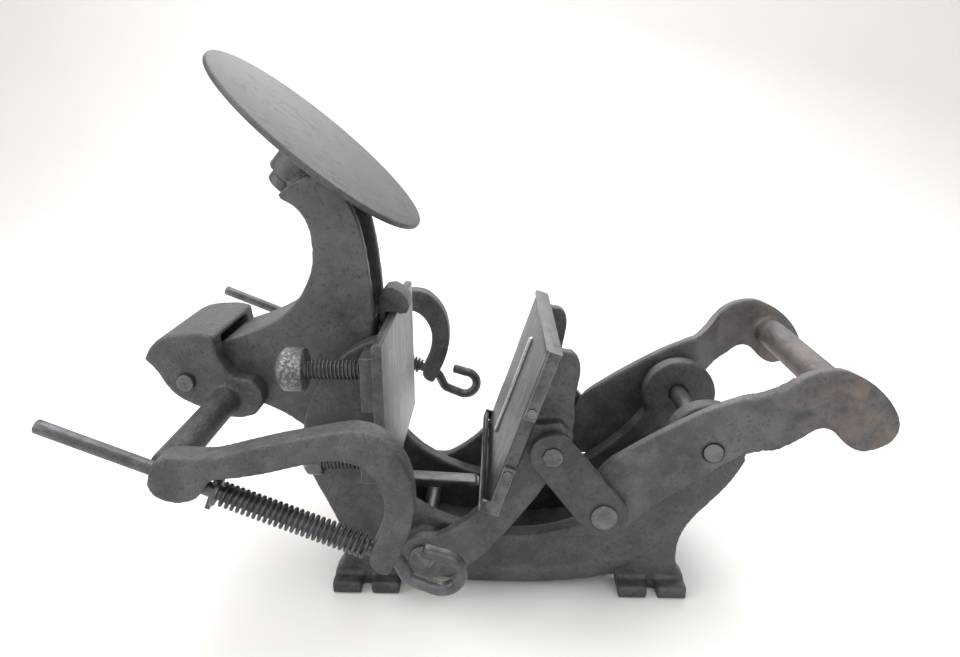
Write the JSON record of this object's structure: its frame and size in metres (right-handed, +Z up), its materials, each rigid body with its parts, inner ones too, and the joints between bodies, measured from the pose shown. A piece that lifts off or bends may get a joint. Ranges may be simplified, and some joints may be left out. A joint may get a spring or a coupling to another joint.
{
  "type": "hand-lever platen press",
  "caption": "Tabletop hand-lever platen press in cast iron: upright bed, hinged platen, toggle links, forked hand lever, tilted ink disc on a curved neck and swinging sprung roller hooks",
  "frame": {"origin": "on the bench plane, at the middle of the four open foot slots", "axes": "+X towards the hand lever, +Y across the press away from the near side, +Z up"},
  "size_m": [0.288, 0.1762, 0.2131],
  "materials": {
    "cast": "dark worn casting, semi-matt",
    "bed_iron": "machined face, streaked",
    "disc_iron": "machined, mottled and pitted",
    "steel": "dark, lightly worn"
  },
  "bodies": {
    "frame": {"side_frame_near": "cast", "side_frame_far": "cast", "column_web": "cast", "rear_tie": "cast", "stay_bar": "cast", "cradle_floor": "cast", "bed": "bed_iron", "chase_hook": "cast", "ink_neck": "cast", "disc_spindle": "steel", "roller_pivot_pin": "steel", "hinge_shaft": "steel", "lever_shaft": "steel"},
    "screw_near_top": {"bed_screw_near_top": "steel"},
    "screw_far_top": {"bed_screw_far_top": "steel"},
    "screw_near_low": {"bed_screw_near_low": "steel"},
    "screw_far_low": {"bed_screw_far_low": "steel"},
    "disc": {"ink_disc": "disc_iron"},
    "roller_frame": {"roller_hub": "cast", "roller_arm_near": "cast", "roller_arm_far": "cast", "roller_spring_near": "steel", "roller_spring_far": "steel"},
    "hook_near": {"hook_rod_near": "steel", "cotter_near": "steel"},
    "hook_far": {"hook_rod_far": "steel", "cotter_far": "steel"},
    "platen": {"platen": "cast", "gripper_strip": "steel", "bail_pin_upper": "steel", "bail_pin_lower": "steel", "link_pin_near": "steel", "link_pin_far": "steel"},
    "bail_upper": {"bail_upper": "steel"},
    "bail_lower": {"bail_lower": "steel"},
    "lever": {"lever_arm_near": "cast", "lever_arm_far": "cast", "lever_grip": "cast"},
    "link_near": {"link_near": "cast", "link_rivet_near": "steel"},
    "link_far": {"link_far": "cast", "link_rivet_far": "steel"}
  },
  "joints": [
    {"name": "lever_pivot", "type": "hinge", "parent": "frame", "child": "lever", "pos_m": [0.0765, 0, 0.06825], "axis": [0, 1, 0], "range_deg": [0, 41.4]},
    {"name": "platen_hinge", "type": "hinge", "parent": "frame", "child": "platen", "pos_m": [-0.0345, 0, 0.021], "axis": [0, -1, 0], "range_deg": [0, 18.68]},
    {"name": "link_near_pivot", "type": "hinge", "parent": "platen", "child": "link_near", "pos_m": [0.01575, -0.0405, 0.06825], "axis": [0, -1, 0], "range_deg": [0, 22.46]},
    {"name": "link_far_pivot", "type": "hinge", "parent": "platen", "child": "link_far", "pos_m": [0.01575, 0.0405, 0.06825], "axis": [0, -1, 0], "range_deg": [0, 22.46]},
    {"name": "roller_frame_pivot", "type": "hinge", "parent": "frame", "child": "roller_frame", "pos_m": [-0.1275, 0, 0.08925], "axis": [0, -1, 0], "range_deg": [0, 95]},
    {"name": "hook_near_slide", "type": "slide", "parent": "roller_frame", "child": "hook_near", "axis": [0.9252, 0, -0.3795], "range_m": [0, 0.015], "stiffness_N_per_m": 300, "springref_m": -0.0075, "deforming": ["roller_spring_near"]},
    {"name": "hook_far_slide", "type": "slide", "parent": "roller_frame", "child": "hook_far", "axis": [0.9252, 0, -0.3795], "range_m": [0, 0.015], "stiffness_N_per_m": 300, "springref_m": -0.0075, "deforming": ["roller_spring_far"]},
    {"name": "disc_spin", "type": "hinge", "parent": "frame", "child": "disc", "pos_m": [-0.0735, 0, 0.18075], "axis": [0.6561, 0, 0.7547], "continuous": true},
    {"name": "screw_near_top_turn", "type": "hinge", "parent": "frame", "child": "screw_near_top", "pos_m": [-0.06, -0.0375, 0.1005], "axis": [1, 0, 0], "continuous": true},
    {"name": "screw_far_top_turn", "type": "hinge", "parent": "frame", "child": "screw_far_top", "pos_m": [-0.06, 0.0375, 0.1005], "axis": [1, 0, 0], "continuous": true},
    {"name": "screw_near_low_turn", "type": "hinge", "parent": "frame", "child": "screw_near_low", "pos_m": [-0.06, -0.0375, 0.06375], "axis": [1, 0, 0], "continuous": true},
    {"name": "screw_far_low_turn", "type": "hinge", "parent": "frame", "child": "screw_far_low", "pos_m": [-0.06, 0.0375, 0.06375], "axis": [1, 0, 0], "continuous": true},
    {"name": "bail_upper_pivot", "type": "hinge", "parent": "platen", "child": "bail_upper", "pos_m": [0.00764, 0, 0.08592], "axis": [0, -1, 0], "range_deg": [0, 20]},
    {"name": "bail_lower_pivot", "type": "hinge", "parent": "platen", "child": "bail_lower", "pos_m": [-0.00101, 0, 0.06035], "axis": [0, 1, 0], "range_deg": [0, 20]}
  ],
  "couplings": [
    {"joint": "platen_hinge", "follows": "lever_pivot", "ratio": 0.45121},
    {"joint": "link_near_pivot", "follows": "lever_pivot", "ratio": 0.54251},
    {"joint": "link_far_pivot", "follows": "lever_pivot", "ratio": 0.54251},
    {"joint": "roller_frame_pivot", "follows": "lever_pivot", "ratio": 2.2947}
  ]
}
